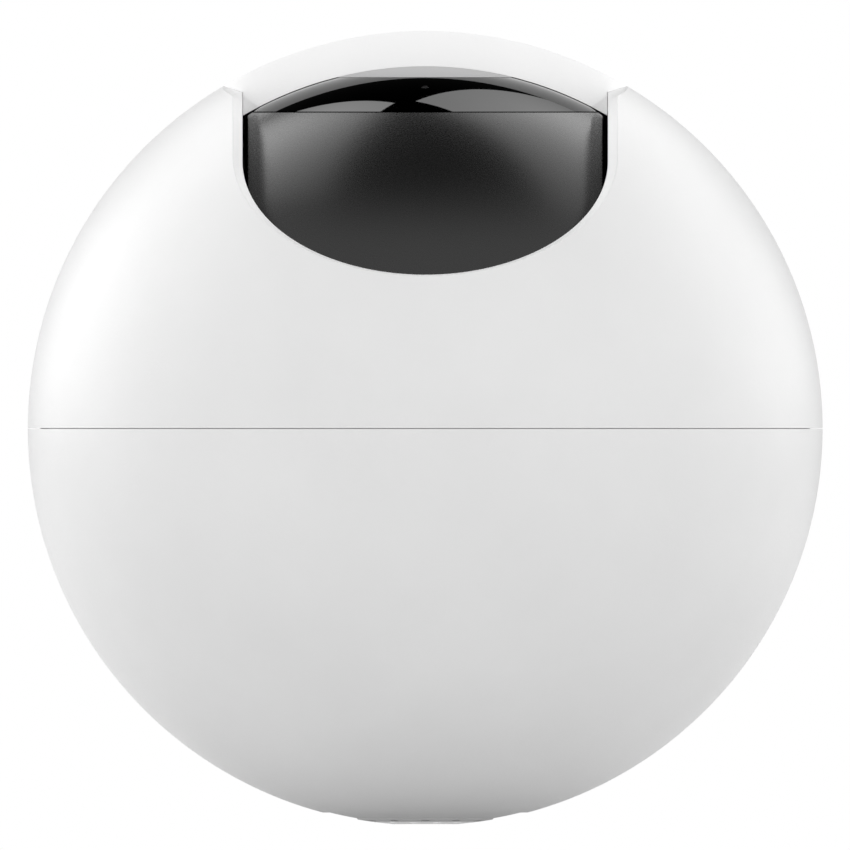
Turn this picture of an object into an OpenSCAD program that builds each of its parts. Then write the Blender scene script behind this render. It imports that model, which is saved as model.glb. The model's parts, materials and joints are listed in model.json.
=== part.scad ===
// Ball-shaped indoor security camera with a panning head and a tilting eye.
// Frame: the origin is the centre of the ball, where the pan axis (Z) and the
// tilt axis (X) cross. +Z is up, the front faces -Y. Lengths are millimetres.
// Angles on the ball are counted from its top towards the front.

/* [Ball] */
// Outer diameter of the ball
ball_d = 90; // [88:1:110]
// Wall of the white shells
shell_wall = 2.4; // [2:0.1:3]
// Gap between the turning upper shell and the fixed lower shell
seam_gap = 0.16; // [0.1:0.02:0.4]

/* [Eye opening] */
// Angle from the top to the centre of the opening's round front end
slot_angle = 38.5; // [34:0.5:42]
// Gap between the eye's flat side and the opening
slot_gap = 0.55; // [0.4:0.05:0.8]
// Width of the sloping rim round the opening
rim_w = 1.08; // [0.6:0.02:1.4]
// Gap between the eye and the rim's inner flange
flange_gap = 0.35; // [0.3:0.05:0.6]
// Angle from the top to the edge of the rear crown cover
crown_angle = 30.5; // [29:0.5:33]
// Thickness of the crown cover's flat front wall
curtain_t = 2; // [1.5:0.1:3]

/* [Eye] */
// Width of the black eye between its flat sides
eye_width = 40.26; // [32:0.1:41]
// How far the eye's round face lies below the ball's
eye_sink = 4.09; // [3.6:0.05:4.6]
// Wall of the eye's round face
eye_wall = 1.8; // [1.4:0.1:2.2]
// Wall of the eye's flat sides
side_wall = 2.2; // [1.8:0.1:2.6]
// Height of the glossy cap at the top of the eye
cap_h = 5.03; // [4:0.1:5.6]
// Diameter of the flat face that the lens looks through
flat_d = 19.5; // [18:0.1:20.5]
// Largest tilt of the eye towards the front
tilt_max = 40; // [30:1:42]

/* [Gears] */
// Teeth of the pan gear
pan_teeth = 48; // [46:2:52]
// Teeth of the tilt gear
tilt_teeth = 36; // [34:2:38]
// Teeth of both motor pinions
pinion_teeth = 12; // [10:2:12]
// Tooth size (module) of the pan gears
pan_module = 0.6; // [0.5:0.05:0.65]
// Tooth size (module) of the tilt gears
tilt_module = 0.5; // [0.4:0.05:0.5]
// Play between meshing teeth
backlash = 0.16; // [0.1:0.02:0.2]

/* [Bearings] */
// Radius of the pins that the eye tilts on
pin_r = 3; // [2.5:0.1:3.2]
// Radius of the hollow hub that the head turns on
hub_r = 8; // [7:0.1:8.6]
// Running gap of a pin in its bush
run_gap = 0.05; // [0.03:0.01:0.08]

/* [Base] */
// Radius of the bottom grille
grille_r = 7.75; // [7.5:0.05:8.2]
// Radius of one sound hole
sound_hole_r = 0.485; // [0.4:0.005:0.5]
// Tapping radius of the tripod thread (1/4-20)
thread_r = 2.55; // [2.5:0.01:2.6]
// Depth of the tripod thread
thread_depth = 5.9; // [5:0.1:6.2]
// Height of the frame plate's top below the tilt axis
frame_drop = 19; // [18.6:0.1:20]

/* [Hidden] */

$fn = 96;
far = 80;                                  // longer than anything in the ball
eps = 0.05;                                // small clearance of still pieces

// Colours
white = "white";
black = "#161616";
steel = "silver";
green = "darkgreen";
gold = "goldenrod";
pale = "gainsboro";

// Ball and eye
ball_r = ball_d / 2;
shell_in = ball_r - shell_wall;
eye_r = ball_r - eye_sink;
eye_in = eye_r - eye_wall;
eye_half = eye_width / 2;
side_in = eye_half - side_wall;
slot_half = eye_half + slot_gap;
rim_half = slot_half + rim_w;
flange_in = eye_r + flange_gap;
flange_w = 1.5;
cap_z = eye_r - cap_h;
flat_r = flat_d / 2;
flat_z = sqrt(eye_r * eye_r - flat_r * flat_r);
visor_in = eye_in - 1.6;                   // inner reach of the eye's front apron
apron_from = 45;                           // angle where the apron starts
apron_to = slot_angle + asin(rim_half / ball_r) + 6;
rear_to = tilt_max + 2;                    // eye wall behind the lens
lap_in = shell_in + 0.15;                  // tongue of the lower shell
lap_out = shell_in + 0.95;
lap_top = 0.9;

// Levels of the head
deck_top = -11;                            // turntable disc
deck_t = 2;
deck_low = deck_top - deck_t;
gear_h = 3;
gear_top = deck_low - 1;
gear_low = gear_top - gear_h;
post_top = 6;                              // where the upper shell's bosses stand
post_at = [[-26, 24], [26, 24], [-26, -18], [26, -18]];
deck_r = sqrt(visor_in * visor_in - deck_top * deck_top) - 2.5;
deck_wide_r = sqrt(shell_in * shell_in - deck_low * deck_low) - 4;

// Yokes and the tilt drive
yoke_in = eye_half + 1.07;
yoke_t = 3;
yoke_out = yoke_in + yoke_t;
tilt_gear_x = yoke_out + 0.4;
tilt_gear_t = 2;
bracket_x = tilt_gear_x + tilt_gear_t + 0.3;
bracket_t = 1.2;
motor_x = bracket_x + bracket_t;
tilt_motor_r = 6.6;
tilt_motor_len = 7.2;
tilt_centre = tilt_module * (tilt_teeth + pinion_teeth) / 2;

// Levels of the base
frame_top = -frame_drop;
frame_t = 2;
frame_low = frame_top - frame_t;
frame_r = sqrt(shell_in * shell_in - frame_low * frame_low) - 3;
frame_boss = [[-28, 12], [28, 12], [-28, -12], [28, -12]];
pan_centre = pan_module * (pan_teeth + pinion_teeth) / 2;
pan_motor_r = 8;
pan_motor_len = 9.5;
board_t = 1.4;
board_low = -ball_r + 12;
board_top = board_low + board_t;
board_r = sqrt(shell_in * shell_in - board_low * board_low) - 2.9;
board_boss = [[-17, 14], [17, 14], [-17, -14], [17, -14]];
pole = -ball_r + 0.07;                     // outermost point of the bottom grille
grille_seat = pole + 2.73;
grille_top = grille_seat + 1.2;
insert_top = pole + thread_depth;
speaker_low = insert_top + 0.5;

// Ports in the rear of the lower shell
port_board_t = 1.2;
port_low = frame_low - port_board_t;
usb_w = 8.94;
usb_h = 3.26;
usb_z = port_low - usb_h / 2;
usb_floor = sqrt(ball_r * ball_r - usb_z * usb_z) - 1.9;
pad_in = frame_r + 0.5;
card_x = [9, 20.6];
card_h = 1.5;
button_at = [-15, frame_low - 5];          // x and z of the reset button
button_r = 1.5;
button_travel = 0.5;
button_wall = sqrt(ball_r * ball_r - button_at[0] * button_at[0] - button_at[1] * button_at[1]);
button_face = button_wall - 0.3;
guide_in = button_wall - 5.9;
collar_t = 1.3;

// Plain shapes ------------------------------------------------------------

module block(lo, hi) {
  translate(lo) cube(hi - lo);
}

module rod_z(r, z0, z1, at = [0, 0]) {
  translate([at[0], at[1], z0]) cylinder(r = r, h = z1 - z0);
}

// Rod along X; at is its place in y and z
module rod_x(r, x0, x1, at = [0, 0]) {
  translate([x0, at[0], at[1]]) rotate([0, 90, 0]) cylinder(r = r, h = x1 - x0);
}

// Rod along Y; at is its place in x and z
module rod_y(r, y0, y1, at = [0, 0]) {
  translate([at[0], y0, at[1]]) rotate([-90, 0, 0]) cylinder(r = r, h = y1 - y0);
}

module tube_z(r_out, r_in, z0, z1, at = [0, 0]) {
  difference() {
    rod_z(r_out, z0, z1, at);
    rod_z(r_in, z0 - 1, z1 + 1, at);
  }
}

// Sphere with its poles on the tilt axis, clear of the cuts at the top
module ball(r) {
  rotate([0, 90, 0]) sphere(r = r);
}

module hollow_ball(r_out, r_in) {
  difference() {
    ball(r_out);
    ball(r_in);
  }
}

// Turns a flat shape drawn in (y, z) into a slab along X
module slab_x(x0, x1) {
  translate([x0, 0, 0]) rotate([90, 0, 90]) linear_extrude(x1 - x0) children();
}

// Revolves a profile drawn in (distance from the tilt axis, x) about that axis
module turn_x() {
  rotate([90, 0, 90]) rotate_extrude() children();
}

// Sector of a slab between two angles from the top, as an outline in (y, z)
module sector(from, to) {
  mid = (from + to) / 2;
  polygon([
    [0, 0],
    [-far * sin(from), far * cos(from)],
    [-far * 1.3 * sin(mid), far * 1.3 * cos(mid)],
    [-far * sin(to), far * cos(to)]
  ]);
}

// Outline with round ends, w wide and h high
module stadium(w, h) {
  for (s = [-1, 1]) translate([s * (w - h) / 2, 0]) circle(r = h / 2);
  square([w - h, h], center = true);
}

// Screw along -Z from under its head: head above z, shank below
module screw_down(at, z, head_r, head_h, shank_r, shank_len) {
  rod_z(head_r, z, z + head_h, at);
  rod_z(shank_r, z - shank_len, z + eps, at);
}

// Screw along +Z from under its head: head below z, shank above
module screw_up(at, z, head_r, head_h, shank_r, shank_len) {
  rod_z(head_r, z - head_h, z, at);
  rod_z(shank_r, z - eps, z + shank_len, at);
}

// Gears -------------------------------------------------------------------

press_angle = 25;
addendum = 0.8;
dedendum = 1.05;
flank_steps = 4;

function involute_of(a) = tan(a) * 180 / PI - a;

// Half angle of a tooth at radius r; rp and rb are its pitch and base radii
function half_tooth(r, rp, rb, teeth) =
  90 / teeth - backlash / 4 / rp * 180 / PI
  + involute_of(press_angle) - involute_of(acos(min(1, rb / max(r, rb))));

// Points up one side of a tooth and down the other
function tooth_points(m, teeth, turn) =
  let (
    rp = m * teeth / 2,
    rb = rp * cos(press_angle),
    root = rp - dedendum * m,
    tip = rp + addendum * m,
    low = max(root, rb),
    radii = concat([root], [for (i = [0 : flank_steps]) low + (tip - low) * i / flank_steps])
  )
  concat(
    [for (r = radii) let (a = turn - half_tooth(r, rp, rb, teeth)) [r * cos(a), r * sin(a)]],
    [for (i = [len(radii) - 1 : -1 : 0])
      let (r = radii[i], a = turn + half_tooth(r, rp, rb, teeth)) [r * cos(a), r * sin(a)]]
  );

// Flat outline of a spur gear with a tooth centred on the first axis when turn is 0
module gear_outline(m, teeth, turn = 0) {
  polygon([for (i = [0 : teeth - 1]) each tooth_points(m, teeth, turn + 360 * i / teeth)]);
}

// Opening for the eye -----------------------------------------------------

// The rim slopes from the ball's surface down to the opening's straight wall
rim_out_h = sqrt(ball_r * ball_r - rim_half * rim_half);
rim_in_r = ball_r - rim_w;
rim_in_h = sqrt(rim_in_r * rim_in_r - slot_half * slot_half);
rim_slope = (rim_out_h - rim_in_h) / rim_w;
rim_over = 3;                              // the slope carries on above the surface
rim_top_half = rim_half + rim_over;
rim_top_h = rim_out_h + rim_over * rim_slope;
slot_floor = 20;
end_over = 0.02;                           // the round end's wall just crosses the straight ones

// Everything that the opening removes from the upper shell
module slot_cut() {
  rotate([slot_angle, 0, 0]) rotate_extrude() polygon([
    [0, slot_floor], [slot_half + end_over, slot_floor], [slot_half + end_over, rim_in_h],
    [rim_top_half + end_over, rim_top_h], [rim_top_half + end_over, far], [0, far]
  ]);
  intersection() {
    turn_x() polygon([
      [slot_floor, -slot_half], [rim_in_h, -slot_half], [rim_top_h, -rim_top_half],
      [far, -rim_top_half], [far, rim_top_half], [rim_top_h, rim_top_half],
      [rim_in_h, slot_half], [slot_floor, slot_half]
    ]);
    slab_x(-far, far) sector(0, slot_angle);
  }
  block([-slot_half, -1, slot_floor], [slot_half, curtain_t + eps, far]);
}

// The opening's outline grown by the width of its inner flange
module slot_grown() {
  grown = slot_half + flange_w;
  rotate([slot_angle, 0, 0]) rod_z(grown, slot_floor, far);
  slab_x(-grown, grown) sector(0, slot_angle);
  block([-grown, -1, slot_floor], [grown, curtain_t + flange_w, far]);
}

// Seat of the crown cover
seat_x = ball_r * sin(crown_angle);
seat_z = ball_r * cos(crown_angle);
seat_slope = 16.5;
seat_lean = 4;
seat_apex = seat_z - seat_x * tan(seat_slope);

// Space above the rear seat, a cone that falls towards the middle
module above_rear_seat(lift = 0) {
  wide = seat_x + 8;
  intersection() {
    union() {
      translate([0, 0, seat_apex + lift]) cylinder(r1 = 0, r2 = wide, h = wide * tan(seat_slope));
      rod_z(wide, seat_apex + lift + wide * tan(seat_slope) - eps, far);
    }
    block([-far, 0, 0], [far, far, far]);
  }
}

// Space above the two front seats, flats that also lean forward, a hair lower than the rear one
module above_front_seats() {
  for (s = [-1, 1]) intersection() {
    translate([s * seat_x, 0, seat_z - 0.03]) rotate([seat_lean, 0, 0]) rotate([0, -s * seat_slope, 0])
      block([-far, -far, 0], [far, far, far]);
    block([min(0, s * far), -far, 0], [max(0, s * far), 0, far]);
  }
}

// Lower shell and what it carries -----------------------------------------

sound_rings = [[6.94, 12, 0], [5.03, 12, 15]];
grille_flange_r = grille_r + 1.75;
dish_r = 11.4;
dish_depth = 0.2;

module lower_shell() color(white) difference() {
  union() {
    difference() {
      sphere(r = ball_r);
      sphere(r = shell_in);
      block([-far, -far, -seam_gap / 2], [far, far, far]);
    }
    // Tongue that closes the seam from inside
    difference() {
      rod_z(lap_out, -0.6, lap_top);
      rod_z(lap_in, -1, lap_top + 1);
    }
    intersection() {
      sphere(r = shell_in + 0.5);
      union() {
        for (p = frame_boss) rod_z(3, -far, frame_low, p);
        for (p = board_boss) rod_z(2.6, -far, board_low, p);
        block([-8, pad_in, usb_z - 4.2], [8, far, usb_z + 4.2]);
        rod_y(3, guide_in, far, button_at);
      }
    }
  }
  for (p = frame_boss) rod_z(0.95, frame_low - 6, frame_low + 1, p);
  for (p = board_boss) rod_z(0.8, board_low - 4, board_low + 1, p);
  // Dished surround and hole of the bottom grille
  difference() {
    rod_z(dish_r, -ball_r - 1, -ball_r + 4);
    sphere(r = ball_r - dish_depth);
  }
  rod_z(grille_r + eps, -far, -shell_in + 4);
  rod_z(grille_flange_r + eps, grille_seat, -shell_in + 4);
  // Pocket and opening of the power socket
  translate([0, far, usb_z]) rotate([90, 0, 0]) linear_extrude(far - usb_floor) stadium(13, 6.8);
  block([-usb_w / 2 - 0.2, pad_in - 1, usb_z - usb_h / 2 - 0.2],
        [usb_w / 2 + 0.2, usb_floor + 1, usb_z + usb_h / 2 + 0.2]);
  // Card slot
  block([card_x[0] + 0.2, 20, port_low - card_h + 0.2], [card_x[1] - 0.2, far, port_low - 0.3]);
  rod_y(button_r + 0.1, 0, far, button_at);
}

module grille_cap() color(white) difference() {
  union() {
    intersection() {
      sphere(r = -pole);
      rod_z(grille_r, -far, grille_seat + eps);
    }
    rod_z(grille_flange_r, grille_seat, grille_top);
  }
  rod_z(insert_r, -far, 0);
  for (ring = sound_rings, i = [0 : ring[1] - 1])
    rotate(i * 360 / ring[1] + ring[2] - 90) translate([ring[0], 0, -far])
      cylinder(r = sound_hole_r, h = far, $fn = 24);
}

insert_r = 3.75;
insert_head_r = 4.4;

module tripod_insert() color(gold) difference() {
  union() {
    rod_z(insert_r, pole + 0.15, insert_top);
    rod_z(insert_head_r, grille_top, insert_top);
  }
  rod_z(thread_r, -far, 0);
}

gasket_in = grille_r + 0.05;

module speaker_gasket() color("dimgray")
  tube_z(grille_flange_r - 0.1, gasket_in, grille_top, speaker_low);

magnet_r = 5;
magnet_h = 2.4;

module speaker() color("#303034") difference() {
  union() {
    rod_z(grille_flange_r - 0.1, speaker_low, board_low - magnet_h);
    rod_z(magnet_r, board_low - magnet_h - eps, board_low);
  }
  translate([0, 0, speaker_low - 1]) cylinder(r1 = 8, r2 = 3, h = 2.6);
}

module main_board() color(green) difference() {
  rod_z(board_r, board_low, board_top);
  for (p = board_boss) rod_z(0.9, board_low - 1, board_top + 1, p);
}

module board_chips() color(black) {
  block([1, 3, board_top], [11, 13, board_top + 1.2]);
  block([-12, 4, board_top], [-4, 13, board_top + 1]);
  block([11.5, -6, board_top], [20.5, 2, board_top + 2]);
  block([-17, -6, board_top], [-11, -1, board_top + 2.2]);
  for (i = [0 : 3]) block([-8 + 2 * i, 16, board_top], [-7 + 2 * i, 18, board_top + 0.8]);
  rod_z(1.8, board_top, board_top + 4.5, [14, 6.5]);
}

module antenna_board() color(green)
  block([-board_r + 2, -7, board_top], [-board_r + 3, 7, board_top + 7]);

module board_screws() color(steel)
  for (p = board_boss) screw_down(p, board_top, 1.5, 0.8, 0.75, board_t + 3);

bush_out = hub_r + 2.2;
bush_flange_r = hub_r + 4;
bush_top = gear_low - 0.1;

module base_frame() color(pale) difference() {
  union() {
    rod_z(frame_r, frame_low, frame_top);
    tube_z(bush_out + 2, bush_out + eps, frame_low - 0.6, frame_low + eps);
  }
  rod_z(bush_out + eps, frame_low - 2, frame_top + 1);
  rod_z(2.6, frame_low - 1, frame_top + 1, [0, -pan_centre]);
  for (p = frame_boss) rod_z(1.1, frame_low - 1, frame_top + 1, p);
  for (p = pan_ears) rod_z(0.9, frame_low - 1, frame_top + 1, p);
  for (s = [-1, 1]) block([s * 20 - 3, -8, frame_low - 1], [s * 20 + 3, 8, frame_top + 1]);
}

module frame_screws() color(steel)
  for (p = frame_boss) screw_down(p, frame_top, 1.9, 1, 0.9, frame_t + 5);

module pan_bush() color(gold) difference() {
  union() {
    rod_z(bush_out, frame_low - 0.6, frame_top + eps);
    rod_z(bush_flange_r, frame_top, bush_top);
  }
  rod_z(hub_r + run_gap, -far, 0);
}

pan_ears = [[-10, -pan_centre], [10, -pan_centre]];
shaft_r = 1;
shaft_grip = 3.5;

module pan_motor() color(steel) difference() {
  union() {
    rod_z(pan_motor_r, frame_low - pan_motor_len, frame_low - 0.7, [0, -pan_centre]);
    block([-10, -pan_centre - 2, frame_low - 1.5], [10, -pan_centre + 2, frame_low - 0.7]);
    for (p = pan_ears) {
      rod_z(2, frame_low - 1.5, frame_low - 0.7, p);
      rod_z(1.6, frame_low - 1, frame_low, p);
    }
    rod_z(2.4, frame_low - 1, frame_low, [0, -pan_centre]);
  }
  rod_z(shaft_r + run_gap, frame_low - shaft_grip - 0.5, frame_low + 1, [0, -pan_centre]);
  for (p = pan_ears) rod_z(0.9, frame_low - 3, frame_low + 1, p);
}

module pan_motor_screws() color(steel)
  for (p = pan_ears) screw_down(p, frame_top, 1.5, 0.7, 0.8, frame_t + 1.5);

module port_board() color(green) intersection() {
  block([-20, 21, port_low], [22, frame_r, frame_low]);
  rod_z(frame_r - 0.4, port_low - 1, frame_low + 1);
}

// Power socket: a rounded metal shell with a contact tongue inside
module usb_socket() color(steel) {
  back = usb_floor - 8;
  translate([0, usb_floor, usb_z]) rotate([90, 0, 0]) difference() {
    linear_extrude(8) stadium(usb_w, usb_h);
    translate([0, 0, -1]) linear_extrude(7.5) stadium(usb_w - 0.6, usb_h - 0.6);
  }
  block([-3.35, back + 1, usb_z - 0.35], [3.35, usb_floor - 0.8, usb_z + 0.35]);
  block([-usb_w / 2 + 1.7, back, usb_z + usb_h / 2 - 0.6], [usb_w / 2 - 1.7, usb_floor - 5, port_low]);
}

card_back = 18;
card_front = sqrt(shell_in * shell_in - card_x[1] * card_x[1] - pow(port_low - card_h, 2)) - 0.4;

module card_socket() color(steel) difference() {
  block([card_x[0], card_back, port_low - card_h], [card_x[1], card_front, port_low]);
  block([card_x[0] + 0.3, card_back + 1, port_low - card_h + 0.3], [card_x[1] - 0.3, far, port_low - 0.3]);
}

// The button's collar stops against the end of its guide in the shell
collar_front = guide_in - 0.2;
collar_back = collar_front - collar_t;

module reset_switch() color(black) {
  x = button_at[0];
  face = collar_back - button_travel - 0.1;
  block([x - 3, face - 4.6, button_at[1] - 2], [x + 3, face - 0.6, port_low]);
  rod_y(1.1, face - 0.7, face, button_at);
}

module reset_button() color("gray") {
  rod_y(button_r, collar_back, button_face, button_at);
  rod_y(2.3, collar_back, collar_front, button_at);
}

// Motor pinions -----------------------------------------------------------

module pan_pinion() color(gold) translate([0, -pan_centre, 0]) {
  translate([0, 0, gear_low]) linear_extrude(gear_h)
    gear_outline(pan_module, pinion_teeth, 90 + 180 / pinion_teeth);
  rod_z(shaft_r, frame_low - shaft_grip, gear_low + eps);
}

module tilt_pinion() color(gold) translate([0, tilt_centre, 0]) {
  translate([tilt_gear_x, 0, 0]) rotate([90, 0, 90]) linear_extrude(tilt_gear_t)
    gear_outline(tilt_module, pinion_teeth, 180 + 180 / pinion_teeth);
  rod_x(0.8, tilt_gear_x + tilt_gear_t - eps, motor_x + shaft_grip);
}

// Turning head ------------------------------------------------------------

module upper_shell() color(white) difference() {
  union() {
    intersection() {
      hollow_ball(ball_r, shell_in);
      block([-far, -far, seam_gap / 2], [far, far, far]);
    }
    intersection() {
      hollow_ball(shell_in + 0.3, flange_in);
      slot_grown();
    }
    intersection() {
      ball(shell_in + 0.5);
      for (p = post_at) rod_z(3, post_top, far, p);
    }
  }
  slot_cut();
  above_rear_seat();
  above_front_seats();
  rod_z(lap_out + 0.35, -1, lap_top + 0.4);
  for (p = post_at) rod_z(0.95, post_top - 1, post_top + 7, p);
}

// Crown cover: the rear lid, its flat front wall and three clips
curtain_in = eye_r + 0.12;
corner_arc_r = 33.65;
corner_step = 0.7;
corner_drop = 0.37;
slot_seat_z = seat_z - (seat_x - slot_half) * tan(seat_slope);
corner_arc_z = slot_seat_z - corner_drop + sqrt(corner_arc_r * corner_arc_r - slot_half * slot_half);
clip_w = 6;
clip_reach = 3.2;

module crown_cover() color(white) {
  intersection() {
    hollow_ball(ball_r, shell_in);
    above_rear_seat();
  }
  intersection() {
    hollow_ball(ball_r - 1, curtain_in);
    block([-slot_half + 0.1, 0, slot_floor], [slot_half - 0.1, curtain_t, far]);
    union() {
      rod_y(corner_arc_r, -1, curtain_t + 1, [0, corner_arc_z]);
      // Set-back web that closes the lower corners
      block([-far, corner_step, curtain_in - 8], [far, far, slot_seat_z - 0.2]);
    }
  }
  for (a = [30, 90, 150]) intersection() {
    rotate(a) block([0, -clip_w / 2, 0], [far, clip_w / 2, far]);
    block([-far, curtain_t + flange_w + 0.5, 0], [far, far, far]);
    union() {
      intersection() {
        hollow_ball(shell_in - 0.02, flange_in);
        above_rear_seat(-clip_reach);
      }
      intersection() {
        hollow_ball(shell_in + 0.5, flange_in);
        above_rear_seat();
      }
    }
  }
}

// Soft lip that fills the crescent over the flat of the eye
module wiper_lip() color(white) intersection() {
  rod_y(curtain_in - 0.02, 0.25, 1.25, $fn = 360);
  block([-flat_r, 0, flat_z + eps], [flat_r, 2, far]);
}

module head_chassis() color(pale) difference() {
  union() {
    rod_z(deck_wide_r, deck_low, deck_top);
    rod_z(hub_r + 1.5, gear_top, deck_low + eps);
    rod_z(hub_r, frame_low - 2.6, deck_low + eps);
    for (p = post_at) {
      rod_z(3.4, deck_top - eps, post_top, p);
      rod_z(3.8, deck_low, deck_top, p);
    }
  }
  // Front bay that the eye's apron swings through
  difference() {
    block([-yoke_in, -far, deck_low - 1], [yoke_in, -10, deck_top + 1]);
    rod_z(deck_r, deck_low - 1, deck_top + 1);
  }
  rod_z(hub_r - 3, -far, 0);
  for (p = post_at) {
    rod_z(1.9, deck_low - 1, post_top - 2.5, p);
    rod_z(1.1, deck_low - 1, post_top + 1, p);
  }
  for (p = yoke_holes) rod_z(0.9, deck_low - 1, deck_top + 1, p);
  for (p = bracket_holes) rod_z(0.8, deck_low - 1, deck_top + 1, p);
  tube_z(hub_r + 1, hub_r - 0.6, ring_low, ring_low + ring_t + 0.1);
}

ring_t = 0.8;
ring_low = frame_low - 1.5;

// Snap ring in the hub's groove
module hub_ring() color(steel) difference() {
  rod_z(hub_r + 1.2, ring_low + eps, ring_low + ring_t);
  rod_z(hub_r - 0.6, -far, 0);
  block([-1.2, 0, -far], [1.2, far, 0]);
}

module shell_screws() color(steel)
  for (p = post_at) screw_up(p, post_top - 2.5, 1.8, 1.2, 0.9, 8.5);

module pan_gear() color("ivory") difference() {
  translate([0, 0, gear_low]) linear_extrude(gear_h) gear_outline(pan_module, pan_teeth, -90);
  rod_z(hub_r, -far, 0);
}

yoke_foot = 11;
yoke_top_r = 7.5;
bush_body_r = pin_r + 1.5;
yoke_holes = [for (x = [-1, 1], y = [-1, 1]) [x * (yoke_in + yoke_t / 2), y * 8.5]];

module yoke_outline() {
  circle(r = yoke_top_r);
  polygon([[-yoke_foot, deck_top], [yoke_foot, deck_top], [yoke_top_r, 0], [-yoke_top_r, 0]]);
}

module yoke(side) {
  x0 = side > 0 ? yoke_in : -yoke_out;
  difference() {
    slab_x(x0, x0 + yoke_t) yoke_outline();
    rod_x(bush_body_r + 0.02, x0 - 1, x0 + yoke_t + 1);
    for (p = yoke_holes) rod_z(0.75, deck_top - 1, deck_top + 5, p);
  }
}

module yoke_left() color(pale) yoke(-1);

module yoke_right() color(pale) yoke(1);

module yoke_screws() color(steel)
  for (p = yoke_holes) screw_up(p, deck_low, 1.5, 0.8, 0.7, deck_t + 4.5);

// Flanged bush in a yoke
module bush(side) {
  mirror([side > 0 ? 0 : 1, 0, 0]) difference() {
    union() {
      rod_x(bush_body_r, yoke_in - eps, yoke_out);
      rod_x(bush_body_r + 1, yoke_in - 0.4, yoke_in);
    }
    rod_x(pin_r + run_gap, 0, far);
  }
}

module bush_left() color(gold) bush(-1);

module bush_right() color(gold) bush(1);

bracket_y = [tilt_centre - 7.5, tilt_centre + 7.5];
bracket_holes = [for (dy = [-4.5, 4.5]) [motor_x + 2.2, tilt_centre + dy]];
tilt_ears = [[tilt_centre, -8], [tilt_centre, 8]];
tilt_ear_r = 1.7;

module tilt_bracket() color(steel) difference() {
  union() {
    block([bracket_x, bracket_y[0], deck_top], [motor_x, bracket_y[1], 10.8]);
    block([bracket_x, bracket_y[0], deck_top], [motor_x + 4.4, bracket_y[1], deck_top + 1.1]);
  }
  rod_x(1.6, bracket_x - 1, motor_x + 1, [tilt_centre, 0]);
  for (p = bracket_holes) rod_z(0.9, deck_top - 1, deck_top + 2, p);
  for (p = tilt_ears) rod_x(0.8, bracket_x - 1, motor_x + 1, p);
}

module bracket_screws() color(steel)
  for (p = bracket_holes) screw_down(p, deck_top + 1.1, 1.4, 0.6, 0.75, 2.9);

module tilt_motor() color(steel) difference() {
  union() {
    rod_x(tilt_motor_r, motor_x, motor_x + tilt_motor_len, [tilt_centre, 0]);
    block([motor_x, tilt_centre - tilt_ear_r, -8], [motor_x + 0.8, tilt_centre + tilt_ear_r, 8]);
    for (p = tilt_ears) rod_x(tilt_ear_r, motor_x, motor_x + 0.8, p);
  }
  rod_x(0.8 + run_gap, motor_x - 1, motor_x + shaft_grip + 0.5, [tilt_centre, 0]);
  for (p = tilt_ears) rod_x(0.8, motor_x - 1, motor_x + 2, p);
}

module tilt_motor_screws() color(steel)
  for (p = tilt_ears) {
    rod_x(1.3, motor_x + 0.8, motor_x + 1.5, p);
    rod_x(0.75, bracket_x - 0.1, motor_x + 0.9, p);
  }

// Eye ---------------------------------------------------------------------

// The round face meets the flat sides through a narrow cone
band_w = 1.35;
band_slope = 36;
band_r = sqrt(eye_r * eye_r - pow(eye_half - band_w, 2));
edge_r = band_r - band_w * tan(band_slope);

module eye_body() intersection() {
  ball(eye_r);
  turn_x() polygon([
    [0, -eye_half], [edge_r, -eye_half],
    [edge_r + eye_half * tan(band_slope), 0],
    [edge_r, eye_half], [0, eye_half]
  ]);
}

module eye_cavity() intersection() {
  ball(eye_in);
  block([-side_in, -far, -far], [side_in, far, far]);
}

// Side view of the eye without its apron, in (y, z)
hub_disc_r = 10;
web_end = [7, -4];                         // inside the hub disc

module eye_side_view() {
  circle(r = hub_disc_r);
  polygon([
    [-far * sin(apron_from), far * cos(apron_from)],
    [0, far * 1.3],
    [far * sin(rear_to), far * cos(rear_to)],
    [web_end[0], web_end[1]],
    [-web_end[0], web_end[1]]
  ]);
}

ledge_top = 12;
ledge_holes = [for (x = [-1, 1]) [x * (side_in - 1.5), 0]];
groove = [0.13, 0.5];                      // height and depth of the line under the cap

module eye_shell() color(black) difference() {
  union() {
    difference() {
      intersection() {
        eye_body();
        union() {
          slab_x(-far, far) eye_side_view();
          difference() {
            slab_x(-far, far) sector(apron_from - 1, apron_to);
            ball(visor_in);
          }
        }
      }
      eye_cavity();
    }
    for (s = [-1, 1]) block([s > 0 ? side_in - 3 : -side_in - eps, -6, ledge_top - 3],
                            [s > 0 ? side_in + eps : 3 - side_in, 6, ledge_top]);
  }
  block([-far, -far, cap_z], [far, far, far]);
  difference() {
    block([-far, -far, cap_z - groove[0]], [far, far, cap_z + 1]);
    intersection() {
      ball(eye_r - groove[1]);
      block([groove[1] - eye_half, -far, 0], [eye_half - groove[1], far, far]);
    }
  }
  rod_x(pin_r + 0.05, -far, far);
  for (p = ledge_holes) rod_z(0.75, ledge_top - 2.8, ledge_top + 1, p);
}

glass_t = 1;
glass_r = flat_r - 0.35;
light_angle = 19.1;
light_r = 0.45;

module eye_cap() color(black) difference() {
  intersection() {
    eye_body();
    block([-far, -far, cap_z], [far, far, flat_z]);
  }
  eye_cavity();
  rod_z(glass_r + 0.03, flat_z - glass_t, far);
  rod_z(glass_r - 0.8, 0, far);
  rotate([light_angle, 0, 0]) rod_z(light_r, 0, far);
}

module lens_window() color("#20242c") rod_z(glass_r, flat_z - glass_t, flat_z);

module status_light() color("lightblue")
  rotate([light_angle, 0, 0]) rod_z(light_r, eye_in - 0.8, eye_r - 0.15);

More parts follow.
